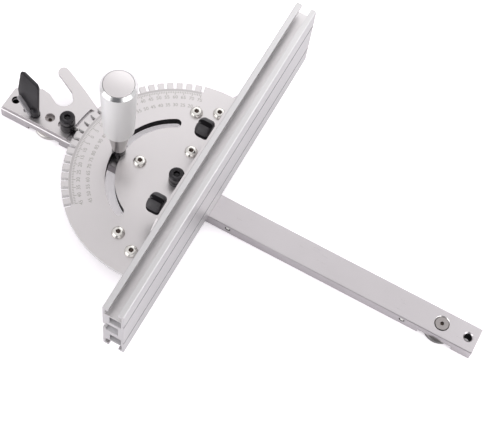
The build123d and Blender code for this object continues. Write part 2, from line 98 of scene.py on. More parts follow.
def white_paper():
    """Matt paper that the camera sees brighter than it is lit, with painted shade under the gauge.
    """
    material = bpy.data.materials.new("white_paper")
    material.use_nodes = True
    made = material.node_tree.nodes
    link = material.node_tree.links.new
    shader = made["Principled BSDF"]
    shader.inputs["Base Color"].default_value = PAPER_WHITE
    shader.inputs["Roughness"].default_value = PAPER_ROUGHNESS
    rays = made.new("ShaderNodeLightPath")
    dark = made.new("ShaderNodeEmission")
    dark.inputs["Strength"].default_value = 0
    glow = made.new("ShaderNodeEmission")
    glow.inputs["Color"].default_value = GLOW_TINT
    openness = made.new("ShaderNodeAmbientOcclusion")
    openness.samples = SHELTER_SAMPLES
    openness.inputs["Distance"].default_value = SHELTER_REACH
    strength = made.new("ShaderNodeMapRange")
    strength.inputs["From Min"].default_value = SHELTER_RANGE[0]
    strength.inputs["From Max"].default_value = SHELTER_RANGE[1]
    strength.inputs["To Min"].default_value = SHELTERED_GLOW
    strength.inputs["To Max"].default_value = PAPER_GLOW
    link(openness.outputs["AO"], strength.inputs["Value"])
    link(strength.outputs["Result"], glow.inputs["Strength"])
    chosen = made.new("ShaderNodeMixShader")
    link(rays.outputs["Is Camera Ray"], chosen.inputs["Fac"])
    link(dark.outputs[0], chosen.inputs[1])
    link(glow.outputs[0], chosen.inputs[2])
    both = made.new("ShaderNodeAddShader")
    link(shader.outputs[0], both.inputs[0])
    link(chosen.outputs[0], both.inputs[1])
    link(both.outputs[0], made["Material Output"].inputs["Surface"])
    return material


floor_mesh = bpy.data.meshes.new("floor")
sides = ((-1, -1), (1, -1), (1, 1), (-1, 1))
floor_mesh.from_pydata([(x * FLOOR_HALF, y * FLOOR_HALF, 0) for x, y in sides], [], [(0, 1, 2, 3)])
floor_mesh.materials.append(white_paper())
floor = bpy.data.objects.new("floor", floor_mesh)
bpy.context.scene.collection.objects.link(floor)

world = bpy.data.worlds.new("studio")
bpy.context.scene.world = world
world.use_nodes = True
made = world.node_tree.nodes
link = world.node_tree.links.new
seen_from = made.new("ShaderNodeTexCoord")
split = made.new("ShaderNodeSeparateXYZ")
link(seen_from.outputs["Generated"], split.inputs[0])
walls = made.new("ShaderNodeMix")
walls.data_type = "RGBA"
walls.inputs["A"].default_value = ROOM_LOW
walls.inputs["B"].default_value = ROOM_HIGH
link(split.outputs["Z"], walls.inputs["Factor"])
nearness = made.new("ShaderNodeVectorMath")
nearness.operation = "DOT_PRODUCT"
nearness.inputs[1].default_value = heading(*PHOTOGRAPHER)
link(seen_from.outputs["Generated"], nearness.inputs[0])
shade = made.new("ShaderNodeMapRange")
shade.interpolation_type = "SMOOTHSTEP"
shade.inputs["From Min"].default_value = cos(radians(PHOTOGRAPHER_EDGES[0]))
shade.inputs["From Max"].default_value = cos(radians(PHOTOGRAPHER_EDGES[1]))
link(nearness.outputs["Value"], shade.inputs["Value"])
room = made.new("ShaderNodeMix")
room.data_type = "RGBA"
room.inputs["B"].default_value = PHOTOGRAPHER_SHADE
link(shade.outputs["Result"], room.inputs["Factor"])
link(walls.outputs["Result"], room.inputs["A"])
link(room.outputs["Result"], made["Background"].inputs["Color"])
backdrop = made.new("ShaderNodeBackground")
backdrop.inputs["Color"].default_value = BACKDROP_WHITE
rays = made.new("ShaderNodeLightPath")
chosen = made.new("ShaderNodeMixShader")
link(rays.outputs["Is Camera Ray"], chosen.inputs["Fac"])
link(made["Background"].outputs[0], chosen.inputs[1])
link(backdrop.outputs[0], chosen.inputs[2])
link(chosen.outputs[0], made["World Output"].inputs["Surface"])

for name, (azimuth, elevation, distance, size, power) in SOFT_BOXES.items():
    soft_box = bpy.data.objects.new(name, bpy.data.lights.new(name, "AREA"))
    bpy.context.scene.collection.objects.link(soft_box)
    soft_box.location = heading(azimuth, elevation) * distance
    soft_box.rotation_mode = "QUATERNION"
    soft_box.rotation_quaternion = (-soft_box.location).to_track_quat("-Z", "Y")
    soft_box.data.size = size
    soft_box.data.energy = power

# Guide bar. A drawn bar of clear anodised alloy, with fine drawing lines along its length
# and every edge broken. All that follows is fastened to it.
DRAWN_ALLOY = ((0.62, 0.595, 0.61, 1), (0.57, 0.545, 0.56, 1))
DRAWN_GRAIN = (50, 1800, 1800)
FINE_GRAIN = (900, 900, 900)
GRAIN_DEPTH = 0.01 * MM
GRAIN_DETAIL = 3
GRAIN_STRENGTH = 0.4
GLOSS_SPREAD = 0.06
CLOUD_SCALE, CLOUD_DETAIL = 40, 4
EDGE_ROUND = 0.22 * MM
EDGE_SAMPLES = 4
SHADE = ((0.02, 0.019, 0.021, 1), (0.016, 0.015, 0.017, 1))
END_BORE_INSET = 6.5 * MM
BORE_REACH = 3.0 * MM
SIDE_BORE_REACH = 2.25 * MM
WALL_TILT = 0.5
SIDE_BORE_TILT = 0.3


def metal(name, colours, roughness, grain, depth=GRAIN_DEPTH, edge=EDGE_ROUND, metallic=1.0,
          specular=0.5):
    """Metal or plastic whose fine grain is stretched along each axis by the values of grain."""
    material = bpy.data.materials.new(name)
    material.use_nodes = True
    made = material.node_tree.nodes
    link = material.node_tree.links.new
    shader = made["Principled BSDF"]
    shader.inputs["Metallic"].default_value = metallic
    shader.inputs["Specular IOR Level"].default_value = specular
    place = made.new("ShaderNodeTexCoord")
    cloudy = made.new("ShaderNodeTexNoise")
    cloudy.inputs["Scale"].default_value = CLOUD_SCALE
    cloudy.inputs["Detail"].default_value = CLOUD_DETAIL
    link(place.outputs["Object"], cloudy.inputs["Vector"])
    tint = made.new("ShaderNodeMix")
    tint.data_type = "RGBA"
    tint.inputs["A"].default_value = colours[1]
    tint.inputs["B"].default_value = colours[0]
    link(cloudy.outputs["Fac"], tint.inputs["Factor"])
    link(tint.outputs["Result"], shader.inputs["Base Color"])
    stretch = made.new("ShaderNodeMapping")
    stretch.inputs["Scale"].default_value = grain
    link(place.outputs["Object"], stretch.inputs["Vector"])
    fine = made.new("ShaderNodeTexNoise")
    fine.inputs["Scale"].default_value = 1
    fine.inputs["Detail"].default_value = GRAIN_DETAIL
    link(stretch.outputs[0], fine.inputs["Vector"])
    gloss = made.new("ShaderNodeMapRange")
    gloss.inputs["To Min"].default_value = roughness - GLOSS_SPREAD
    gloss.inputs["To Max"].default_value = roughness + GLOSS_SPREAD
    link(fine.outputs["Fac"], gloss.inputs["Value"])
    link(gloss.outputs["Result"], shader.inputs["Roughness"])
    soft_edge = made.new("ShaderNodeBevel")
    soft_edge.samples = EDGE_SAMPLES
    soft_edge.inputs["Radius"].default_value = edge
    bump = made.new("ShaderNodeBump")
    bump.inputs["Strength"].default_value = GRAIN_STRENGTH
    bump.inputs["Distance"].default_value = depth
    link(fine.outputs["Fac"], bump.inputs["Height"])
    link(soft_edge.outputs[0], bump.inputs["Normal"])
    link(bump.outputs[0], shader.inputs["Normal"])
    return material


def coat(node, material):
    """Gives a CAD node a material in place of its plain one."""
    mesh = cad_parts[node].data
    mesh.materials.clear()
    mesh.materials.append(material)


def line(node, material, chosen):
    """Gives a second material to the faces that a test of their centre and normal picks out."""
    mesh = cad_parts[node].data
    mesh.materials.append(material)
    for polygon in mesh.polygons:
        if chosen(polygon.center, polygon.normal):
            polygon.material_index = len(mesh.materials) - 1


def in_end_bore(centre, normal):
    """True on the wall of the upright bores near the bar's ends."""
    from_end = min(centre.x - bar_low.x, bar_high.x - centre.x)
    from_axis = Vector((from_end - END_BORE_INSET, centre.y)).length
    return abs(normal.z) < WALL_TILT and from_axis < BORE_REACH


def in_side_bore(centre, normal):
    """True on the wall of the bores that cross the bar."""
    from_axis = min((centre.xz - axis).length for axis in side_axes)
    return abs(normal.y) < SIDE_BORE_TILT and from_axis < SIDE_BORE_REACH


drawn_alloy = metal("drawn_alloy", DRAWN_ALLOY, roughness=0.3, grain=DRAWN_GRAIN)
bore_shade = metal("bore_shade", SHADE, roughness=0.6, grain=FINE_GRAIN, metallic=0.0)
bar_low, bar_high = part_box("guide_bar")
tip_low, tip_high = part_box("set_screw_tips")
tip_radius = (tip_high.z - tip_low.z) / 2
side_ends = (tip_low.x + tip_radius, tip_high.x - tip_radius)
side_axes = [Vector((x, tip_low.z + tip_radius)) for x in side_ends]
coat("guide_bar", drawn_alloy)
# The walls of the bores are painted dark, as painted shade.
line("guide_bar", bore_shade, in_end_bore)
line("guide_bar", bore_shade, in_side_bore)

# Slot discs. Turned from plain steel, they hook under the lips of a table's T-slot
# and are screwed up into recesses in the bar. The front one is painted darker, as painted shade
# for the shadow and dark reflection it has below the bar's side.
TURNED_STEEL = ((0.72, 0.7, 0.68, 1), (0.65, 0.63, 0.61, 1))
WORN_STEEL_AND_SHADE = ((0.27, 0.26, 0.255, 1), (0.21, 0.205, 0.2, 1))

turned_steel = metal("turned_steel", TURNED_STEEL, roughness=0.32, grain=FINE_GRAIN)
worn_steel_and_shade = metal("worn_steel_and_shade", WORN_STEEL_AND_SHADE, roughness=0.3, grain=FINE_GRAIN)
# Painted shade: the front disc is coloured darker than the rear one.
coat("front_slot_disc", worn_steel_and_shade)
coat("rear_slot_disc", turned_steel)

# Side set screws and their tips. Black grub screws lie across the bar and push white nylon tips
# against the wall of the slot, to take up its play.
OXIDE_BLACK = ((0.017, 0.0145, 0.018, 1), (0.011, 0.0095, 0.012, 1))
OXIDE_GRAIN = (1200, 1200, 1200)
NYLON_WHITE = ((0.86, 0.85, 0.82, 1), (0.8, 0.79, 0.76, 1))
NYLON_GRAIN = (700, 700, 700)

black_oxide = metal("black_oxide", OXIDE_BLACK, roughness=0.22, grain=OXIDE_GRAIN, metallic=0.3)
coat("side_set_screws", black_oxide)
nylon = metal("nylon", NYLON_WHITE, roughness=0.5, grain=NYLON_GRAIN, metallic=0.0)
coat("set_screw_tips", nylon)

# Pivot. A steel bush is clamped to the bar by a black cap screw and a spacer collar,
# and the head turns round it.
CAP_HEAD_HEIGHT = 6.0 * MM
CAP_HEAD_ROUND = 1.2 * MM
# Radii of the shank, the head's foot and its flat top, as shares of the head's own
CAP_SHANK, CAP_HEAD_FOOT, CAP_HEAD_FLAT = 0.58, 0.95, 0.76
KNURL_TEETH = 36
KNURL_DEPTH = 0.14 * MM
KNURL_RISE = 0.3 * MM
KNURL_DROP = 1.56 * MM
ROUND, HEXAGON, KNURL = "round", "hexagon", "knurl"
CAP_SOCKET = 4.0 * MM
CAP_SOCKET_DEPTH = 3.0 * MM
SOCKET_LIP = 0.15 * MM
SOCKET_DISH = 0.3


def skin(rows, shape):
    """Joins rings of points with faces and closes both ends."""
    for first, second in zip(rows, rows[1:]):
        for step in range(len(first)):
            following = (step + 1) % len(first)
            shape.faces.new((first[step], first[following], second[following], second[step]))
    shape.faces.new(rows[0][::-1])
    shape.faces.new(rows[-1])


def turned(foot, rings, shape=None, sides=72):
    """Solid of revolution on an upright axis. A ring is a radius, a height and its form."""
    shape = shape or bmesh.new()
    rows = []
    for radius, height, form in rings:
        row = []
        for step in range(sides):
            angle = tau * step / sides
            reach = radius
            if form == HEXAGON:
                reach = radius / cos(angle % radians(60) - radians(30))
            if form == KNURL:
                reach = radius - KNURL_DEPTH * (step * KNURL_TEETH * 2 // sides % 2)
            place = Vector((reach * cos(angle), reach * sin(angle), height))
            row.append(shape.verts.new(foot + place))
        rows.append(row)
    skin(rows, shape)
    return shape


def rounded(inner, outer, low, high, steps=6):
    """Rings of an elliptical shoulder that narrows from the outer radius to the inner one."""
    turns = [radians(90) * step / steps for step in range(steps + 1)]
    return [(inner + (outer - inner) * cos(turn), low + (high - low) * sin(turn), ROUND)
            for turn in turns]


def socket(radius, top, depth):
    """Rings of a hexagonal socket, from the flat round it down to its dished floor."""
    dish = radius * SOCKET_DISH
    return [(radius + SOCKET_LIP, top, HEXAGON), (radius, top - SOCKET_LIP, HEXAGON),
            (radius, top - depth, HEXAGON), (dish, top - depth - dish, HEXAGON)]


def show(name, shape, material, body, nodes, crease=35):
    """Turns a finished shape into a piece that rides on a body in place of some CAD nodes."""
    mesh = bpy.data.meshes.new(name)
    bmesh.ops.recalc_face_normals(shape, faces=shape.faces)
    shape.to_mesh(mesh)
    shape.free()
    mesh.shade_smooth()
    mesh.set_sharp_from_angle(angle=radians(crease))
    mesh.materials.append(material)
    piece = bpy.data.objects.new(name, mesh)
    bpy.context.scene.collection.objects.link(piece)
    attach(piece, body)
    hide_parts(*nodes)
    return piece


def cap_screw(name, node):
    """Socket cap screw in place of a CAD one: head, socket and a plain shank."""
    low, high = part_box(node)
    foot = Vector(((low.x + high.x) / 2, (low.y + high.y) / 2, 0))
    radius = (high.x - low.x) / 2
    seat = high.z - CAP_HEAD_HEIGHT
    rings = [(radius * CAP_SHANK, low.z, ROUND), (radius * CAP_SHANK, seat, ROUND)]
    rings += [(radius * CAP_HEAD_FOOT, seat, ROUND)]
    rings += [(radius, seat + KNURL_RISE, KNURL), (radius, high.z - KNURL_DROP, KNURL)]
    rings += rounded(radius * CAP_HEAD_FLAT, radius, high.z - CAP_HEAD_ROUND, high.z)
    rings += socket(CAP_SOCKET / 2, high.z, CAP_SOCKET_DEPTH)
    show(name, turned(foot, rings), black_oxide, "bar", [node], crease=50)


cap_screw("pivot_cap_screw", "pivot_screw")
coat("pivot_collar", black_oxide)
coat("pivot_bush", turned_steel)

# Disc screws. Wide flat steel heads, ground flush in counterbores of the bar, with a small
# hexagonal socket and a narrow gap all round. The counterbores' broken edges are painted
# bright as a highlight, and the gap and the socket are painted dark as shade.
GROUND_STEEL = ((0.37, 0.345, 0.34, 1), (0.31, 0.29, 0.285, 1))
GROUND_GRAIN = (1400, 1400, 1400)
EDGE_HIGHLIGHT = ((0.92, 0.91, 0.9, 1), (0.88, 0.87, 0.86, 1))
HIGHLIGHT_DEPTH = 0.005 * MM
FINE_EDGE = 0.05 * MM
PAINTED_SOCKET_SHADE = ((0.11, 0.085, 0.075, 1), (0.08, 0.062, 0.055, 1))
DISC_SCREW_HEIGHT = 2.6 * MM
DISC_SCREW_SHANK = 2.5 * MM
DISC_SCREW_SOCKET = 2.4 * MM
DISC_SCREW_SOCKET_DEPTH = 1.6 * MM
DISC_SCREW_SOCKET_SHADE = 0.3 * MM
SINK_EDGE = 0.5 * MM
SINK_GAP = 0.35 * MM
SINK_DEPTH = 0.9 * MM
FACE_EDGE = 0.15 * MM
GAP_PAINT, EDGE_PAINT, SOCKET_PAINT = 1, 2, 3

low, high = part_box("disc_screws")
sink_radius = (high.y - low.y) / 2
lip_radius = sink_radius - SINK_EDGE
face_radius = lip_radius - SINK_GAP
under_head, gap_floor = high.z - DISC_SCREW_HEIGHT, high.z - SINK_DEPTH
rings = [(DISC_SCREW_SHANK, low.z, ROUND), (DISC_SCREW_SHANK, under_head, ROUND)]
rings += [(sink_radius, under_head, ROUND), (sink_radius, high.z, ROUND)]
rings += [(lip_radius, high.z - SINK_EDGE, ROUND), (lip_radius, gap_floor, ROUND)]
rings += [(face_radius, gap_floor, ROUND), (face_radius, high.z - FACE_EDGE, ROUND)]
rings += [(face_radius - FACE_EDGE, high.z, ROUND)]
rings += socket(DISC_SCREW_SOCKET / 2, high.z, DISC_SCREW_SOCKET_DEPTH)
disc_heads = bmesh.new()
screw_xs = (low.x + sink_radius, high.x - sink_radius)
for x in screw_xs:
    turned(Vector((x, (low.y + high.y) / 2, 0)), rings, disc_heads)
ground_steel = metal("ground_steel", GROUND_STEEL, roughness=0.36, grain=GROUND_GRAIN,
                     edge=FINE_EDGE)
flat_heads = show("flat_head_screws", disc_heads, ground_steel, "bar", ["disc_screws"],
                  crease=40)
painted_socket_shade = metal("painted_socket_shade", PAINTED_SOCKET_SHADE, roughness=0.45, grain=FINE_GRAIN)
edge_highlight = metal("edge_highlight", EDGE_HIGHLIGHT, roughness=0.2, grain=FINE_GRAIN,
                    depth=HIGHLIGHT_DEPTH, edge=FINE_EDGE)
for extra in (bore_shade, edge_highlight, painted_socket_shade):
    flat_heads.data.materials.append(extra)
# Painted light: sockets and gap dark as shade, counterbore edges bright as a highlight.
for polygon in flat_heads.data.polygons:
    place = polygon.center
    from_axis = min(Vector((place.x - x, place.y)).length for x in screw_xs)
    depth = high.z - place.z
    if from_axis < DISC_SCREW_SOCKET / 2 and depth > DISC_SCREW_SOCKET_SHADE:
        polygon.material_index = SOCKET_PAINT
    elif face_radius < from_axis and depth > SINK_EDGE:
        polygon.material_index = GAP_PAINT
    elif from_axis > lip_radius and depth < SINK_EDGE:
        polygon.material_index = EDGE_PAINT

# Head plate. Cut from flat plate, bead blasted and clear anodised, with a comb of notches
# every five degrees round its rim.
BLASTED_ALLOY = ((0.67, 0.645, 0.65, 1), (0.635, 0.612, 0.617, 1))
RIM_WALL_LIGHT = ((0.8, 0.79, 0.79, 1), (0.76, 0.75, 0.75, 1))
RIM_REACH = 70.5 * MM
BLASTED_GRAIN = (2600, 2600, 2600)
BLASTED_DEPTH = 0.012 * MM
ARC_SLOT_RADII = (40.0 * MM, 48.2 * MM)
HEAD_FRONT = 10 * MM


def in_arc_slot(centre, normal):
    """True on the walls of the clamp slot."""
    in_ring = ARC_SLOT_RADII[0] < centre.xy.length < ARC_SLOT_RADII[1]
    return in_ring and abs(normal.z) < WALL_TILT and centre.x < HEAD_FRONT


def on_rim(centre, normal):
    """True on the cut walls of the rim and its notches."""
    return centre.xy.length > RIM_REACH and abs(normal.z) < WALL_TILT and centre.x < HEAD_FRONT


blasted_alloy = metal("blasted_alloy", BLASTED_ALLOY, roughness=0.34, grain=BLASTED_GRAIN,
                      depth=BLASTED_DEPTH)
rim_wall_light = metal("rim_wall_light", RIM_WALL_LIGHT, roughness=0.5, grain=BLASTED_GRAIN, metallic=0.2)
coat("head_plate", blasted_alloy)
# The walls of the arc slot are painted dark, as painted shade.
line("head_plate", bore_shade, in_arc_slot)
# The cut walls of the rim and its notches are painted lighter, as painted light.
line("head_plate", rim_wall_light, on_rim)

# Scale. Flat marks with no depth of their own: a darker grey band just inside the roots of the
# notches, a tick for every degree, and two rows of figures that count opposite ways. The ticks
# and figures are burnt into the anodising with a laser.
SCALE_GREY = ((0.39, 0.38, 0.355, 1), (0.33, 0.32, 0.3, 1))
BAND_GREY = ((0.51, 0.49, 0.49, 1), (0.47, 0.45, 0.45, 1))
SCALE_FIRST, SCALE_LAST, SCALE_STEP = -45, 75, 5
SCALE_LIFT = 0.03 * MM
BAND_RADII = (69.6 * MM, 71.2 * MM)
TICK_OUTER = 69.2 * MM
SHORT_TICK, LONG_TICK = 1.3 * MM, 2.6 * MM
TICK_WIDTH = 0.42 * MM
FIGURE_RADII = (63.6 * MM, 57.4 * MM)
FIGURE_SIZE = 3.6 * MM
FIGURE_SMOOTHNESS = 3


def scale_point(radius, angle, height):
    """Point of the head's face at an angle that runs from the bar's rear end towards +Y."""
    return Vector((-radius * cos(radians(angle)), radius * sin(radians(angle)), height))


def mark(corners, angle, height, shape):
    """Adds a flat mark whose corners are each a radius and a turn from an angle."""
    return shape.faces.new([shape.verts.new(scale_point(radius, angle + turn, height))
                            for radius, turn in corners])


def figure(text, radius, angle, height, shape):
    """Adds a number whose foot faces the pivot."""
    curve = bpy.data.curves.new("figure", "FONT")
    curve.body = text
    curve.size = FIGURE_SIZE
    curve.resolution_u = FIGURE_SMOOTHNESS
    curve.align_x = "CENTER"
    writing = bpy.data.objects.new("figure", curve)
    mesh = bpy.data.meshes.new_from_object(writing)
    place = Matrix.Translation(scale_point(radius, angle, height))
    mesh.transform(place @ Matrix.Rotation(radians(90 - angle), 4, "Z"))
    shape.from_mesh(mesh)
    bpy.data.meshes.remove(mesh)
    bpy.data.objects.remove(writing)
    bpy.data.curves.remove(curve)


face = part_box("head_plate")[1].z + SCALE_LIFT
marks = bmesh.new()
half = degrees(TICK_WIDTH / 2 / TICK_OUTER)
band = [(BAND_RADII[0], 0), (BAND_RADII[0], 1), (BAND_RADII[1], 1), (BAND_RADII[1], 0)]
for angle in range(SCALE_FIRST, SCALE_LAST + 1):
    inner = TICK_OUTER - (SHORT_TICK if angle % SCALE_STEP else LONG_TICK)
    tick = [(TICK_OUTER, -half), (TICK_OUTER, half), (inner, half), (inner, -half)]
    mark(tick, angle, face, marks)
    if angle < SCALE_LAST:
        mark(band, angle, face, marks).material_index = 1
for angle in range(SCALE_FIRST, SCALE_LAST + 1, SCALE_STEP):
    figure(str(abs(angle)), FIGURE_RADII[0], angle, face, marks)
    figure(str(90 - abs(angle)), FIGURE_RADII[1], angle, face, marks)
scale_mesh = bpy.data.meshes.new("scale")
marks.to_mesh(scale_mesh)
marks.free()
for name, grey in (("laser_mark", SCALE_GREY), ("scale_band", BAND_GREY)):
    scale_mesh.materials.append(metal(name, grey, roughness=0.36, grain=BLASTED_GRAIN))
scale = bpy.data.objects.new("scale", scale_mesh)
bpy.context.scene.collection.objects.link(scale)
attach(scale, "head")

# Fence bracket. Bent from the same plate as the head: its foot lies between bar and head
# and its flange stands behind the fence.
coat("fence_bracket", blasted_alloy)
# The walls of the foot's arc slot are painted dark, as painted shade.
line("fence_bracket", bore_shade, in_arc_slot)

# Bracket screws. Seven button heads of bright plated steel with hexagonal sockets,
# screwed down through the head plate to hold it on the bracket's foot.
BRIGHT_PLATE = ((0.8, 0.785, 0.75, 1), (0.74, 0.725, 0.69, 1))
PLATE_GRAIN = (500, 500, 500)
PLATE_DEPTH = 0.003 * MM
BUTTON_RADIUS = 4.55 * MM
BUTTON_RIM = 0.2 * MM
BUTTON_HEIGHT = 2.8 * MM
BUTTON_FLAT = 2.0 * MM
BUTTON_SOCKET = 3.0 * MM
BUTTON_SOCKET_DEPTH = 1.5 * MM
BUTTON_SOCKET_SHADE = (0.4 * MM, 2.6 * MM)
BUTTON_SHANK = 2.5 * MM
# Radius in millimetres and angle of each, as on the scale
BUTTON_PLACES = [(27.9, 0)] + [(r, side * angle) for side in (-1, 1)
                               for r, angle in ((24.1, 85.2), (54.3, 75.4), (59.9, 90.3))]

bright_plate = metal("bright_plate", BRIGHT_PLATE, roughness=0.24, grain=PLATE_GRAIN,
                     depth=PLATE_DEPTH, edge=FINE_EDGE)
shank_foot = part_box("bracket_screws")[0].z
head_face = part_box("head_plate")[1].z
rings = [(BUTTON_SHANK, shank_foot - head_face, ROUND), (BUTTON_SHANK, 0, ROUND)]
rings += [(BUTTON_RADIUS, 0, ROUND)]
rings += rounded(BUTTON_FLAT, BUTTON_RADIUS, BUTTON_RIM, BUTTON_HEIGHT, steps=8)
rings += socket(BUTTON_SOCKET / 2, BUTTON_HEIGHT, BUTTON_SOCKET_DEPTH)
buttons = bmesh.new()
for radius, angle in BUTTON_PLACES:
    turned(scale_point(radius * MM, angle, head_face), rings, buttons, sides=48)
button_screws = show("button_screws", buttons, bright_plate, "head", ["bracket_screws"],
                     crease=50)
# The button sockets are painted dark brown, as painted shade.
button_screws.data.materials.append(painted_socket_shade)
for polygon in button_screws.data.polygons:
    place = polygon.center
    from_axis = min((place - scale_point(radius * MM, angle, place.z)).length
                    for radius, angle in BUTTON_PLACES)
    in_shade = BUTTON_SOCKET_SHADE[0] < place.z - head_face < BUTTON_SOCKET_SHADE[1]
    if from_axis < BUTTON_SOCKET / 2 and in_shade:
        polygon.material_index = 1

# Clamp bolts and washers. Plated hexagon bolts slide in the fence's rear track,
# and black washers spread the knobs' load on the flange.
coat("left_tee_bolt", bright_plate)
coat("right_tee_bolt", bright_plate)
coat("knob_washers", black_oxide)

# Knobs. Moulded in black plastic with four broad lobes and a round neck, they screw
# on the clamp bolts and press the bracket's flange on the fence.
MOULDED_BLACK = ((0.042, 0.039, 0.043, 1), (0.028, 0.026, 0.03, 1))
FLUTE_PAINTED_SHADE = ((0.011, 0.01, 0.012, 1), (0.008, 0.007, 0.009, 1))
MOULDED_GRAIN = (1500, 1500, 1500)
MOULDED_DEPTH = 0.02 * MM
KNOB_RADIUS = 6.9 * MM
KNOB_LOBES = 4
KNOB_FLUTE_RADIUS = 1.6 * MM
KNOB_FLUTE_DEPTH = 1.9 * MM
KNOB_NECK_LENGTH = 3.6 * MM
KNOB_NECK_RADIUS = 4.6 * MM
KNOB_ROUND = 2.6 * MM
KNOB_REAR_ROUND = 3.6 * MM
KNOB_FLUTE_SHADE = 0.35 * MM
KNOB_LEAST_REACH = 1 * MM
KNOB_STEPS, KNOB_SIDES = 5, 144


def knob_reach(angle):
    """Radius of the lobed outline at an angle."""
    middle = KNOB_RADIUS - KNOB_FLUTE_DEPTH + KNOB_FLUTE_RADIUS
    pitch = tau / KNOB_LOBES
    off = (angle % pitch) - pitch / 2
    across = middle * sin(off)
    if abs(across) >= KNOB_FLUTE_RADIUS:
        return KNOB_RADIUS
    return min(KNOB_RADIUS, middle * cos(off) - sqrt(KNOB_FLUTE_RADIUS ** 2 - across ** 2))


def knob(name, node):
    """Lobed knob on the axis of a CAD one, rounded at both ends."""
    low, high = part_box(node)
    centre = Vector((0, (low.y + high.y) / 2, (low.z + high.z) / 2))
    neck = high.x - KNOB_NECK_LENGTH
    turns = [radians(90) * step / KNOB_STEPS for step in range(KNOB_STEPS + 1)]
    rings = [(low.x + KNOB_REAR_ROUND * (1 - sin(turn)), KNOB_REAR_ROUND * (1 - cos(turn)))
             for turn in turns[::-1]]
    rings += [(neck - KNOB_ROUND * (1 - sin(turn)), KNOB_ROUND * (1 - cos(turn))) for turn in turns]
    angles = [tau * side / KNOB_SIDES for side in range(KNOB_SIDES)]
    outlines = [(x, [max(knob_reach(angle + pi / KNOB_LOBES) - inset, KNOB_LEAST_REACH)
                     for angle in angles]) for x, inset in rings]
    outlines += [(x, [KNOB_NECK_RADIUS] * KNOB_SIDES) for x in (neck, high.x)]
    shape = bmesh.new()
    rows = []
    for x, reaches in outlines:
        places = [centre + Vector((x, reach * cos(angle), reach * sin(angle)))
                  for angle, reach in zip(angles, reaches)]
        rows.append([shape.verts.new(place) for place in places])
    skin(rows, shape)
    piece = show(name, shape, moulded_black, node, [node], crease=40)
    # The flutes between the lobes are painted darker, as painted shade.
    piece.data.materials.append(flute_painted_shade)
    for polygon in piece.data.polygons:
        off_axis = polygon.center.yz - centre.yz
        reach = knob_reach(atan2(off_axis.y, off_axis.x) + pi / KNOB_LOBES)
        if off_axis.length > KNOB_NECK_RADIUS and reach < KNOB_RADIUS - KNOB_FLUTE_SHADE:
            polygon.material_index = 1


moulded_black = metal("moulded_black", MOULDED_BLACK, roughness=0.42, grain=MOULDED_GRAIN,
                      depth=MOULDED_DEPTH, metallic=0.0)
flute_painted_shade = metal("flute_painted_shade", FLUTE_PAINTED_SHADE, roughness=0.6, grain=MOULDED_GRAIN,
                    depth=MOULDED_DEPTH, metallic=0.0, specular=0.1)
knob("left_lobed_knob", "left_knob")
knob("right_lobed_knob", "right_knob")

# Fence. An extrusion, clear anodised, with die lines along its length, two fine grooves
# in its front face and hollows that keep the dull surface of the die.
EXTRUDED_ALLOY = ((0.645, 0.637, 0.644, 1), (0.595, 0.587, 0.594, 1))
GROOVE_SHADE = ((0.2, 0.195, 0.2, 1), (0.16, 0.155, 0.16, 1))
DIE_DULL = ((0.62, 0.61, 0.625, 1), (0.55, 0.54, 0.555, 1))
TRACK_LIGHT = ((0.72, 0.705, 0.71, 1), (0.66, 0.645, 0.65, 1))
DIE_LINES = (1800, 30, 1800)
DIE_LINE_DEPTH = 0.012 * MM
# Ranges of depth below the top or bottom face, and behind the front face
TRACK_DEPTHS = (0.8 * MM, 9.6 * MM)
HOLLOW_DEPTHS = (1.9 * MM, 9.8 * MM)
HOLLOW_INSET = 10 * MM
GROOVE_DEPTH = 0.95 * MM
GROOVE_INSET = 2 * MM
GROOVE_SLOPES = (0.2, 0.99)
TRACK_SIDE = 1 * MM


def below_face(centre):
    """Depth of a point below the fence's top, or above its bottom, whichever is less."""
    return min(centre.z - fence_low.z, fence_high.z - centre.z)


def in_groove(centre, normal):
    """True on the two slopes of each groove in the front face."""
    slopes = GROOVE_SLOPES[0] < abs(normal.z) < GROOVE_SLOPES[1]
    return slopes and centre.x > fence_high.x - GROOVE_DEPTH and below_face(centre) > GROOVE_INSET


def in_hollow(centre, normal):
    """True on the walls of the tracks and hollows that only show at the ends."""
    inner = HOLLOW_DEPTHS[0] < fence_high.x - centre.x < HOLLOW_DEPTHS[1]
    return inner and abs(normal.y) < WALL_TILT and below_face(centre) > HOLLOW_INSET


def in_track(centre, normal):
    """True inside the T-shaped tracks of the top and bottom."""
    inner = min(centre.x - fence_low.x, fence_high.x - centre.x) > TRACK_SIDE
    sunk = TRACK_DEPTHS[0] < below_face(centre) < TRACK_DEPTHS[1]
    return inner and sunk and abs(normal.y) < WALL_TILT


fence_low, fence_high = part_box("fence")
extruded_alloy = metal("extruded_alloy", EXTRUDED_ALLOY, roughness=0.42, grain=DIE_LINES,
                       depth=DIE_LINE_DEPTH)
track_light = metal("track_light", TRACK_LIGHT, roughness=0.42, grain=DIE_LINES,
                    depth=DIE_LINE_DEPTH)
groove_shade = metal("groove_shade", GROOVE_SHADE, roughness=0.5, grain=DIE_LINES)
die_dull = metal("die_dull", DIE_DULL, roughness=0.7, grain=DIE_LINES, metallic=0.0)
coat("fence", extruded_alloy)
# The insides of the tracks are painted lighter, as painted light.
line("fence", track_light, in_track)
# The slopes of the grooves are painted dark, as painted shade.
line("fence", groove_shade, in_groove)
line("fence", die_dull, in_hollow)

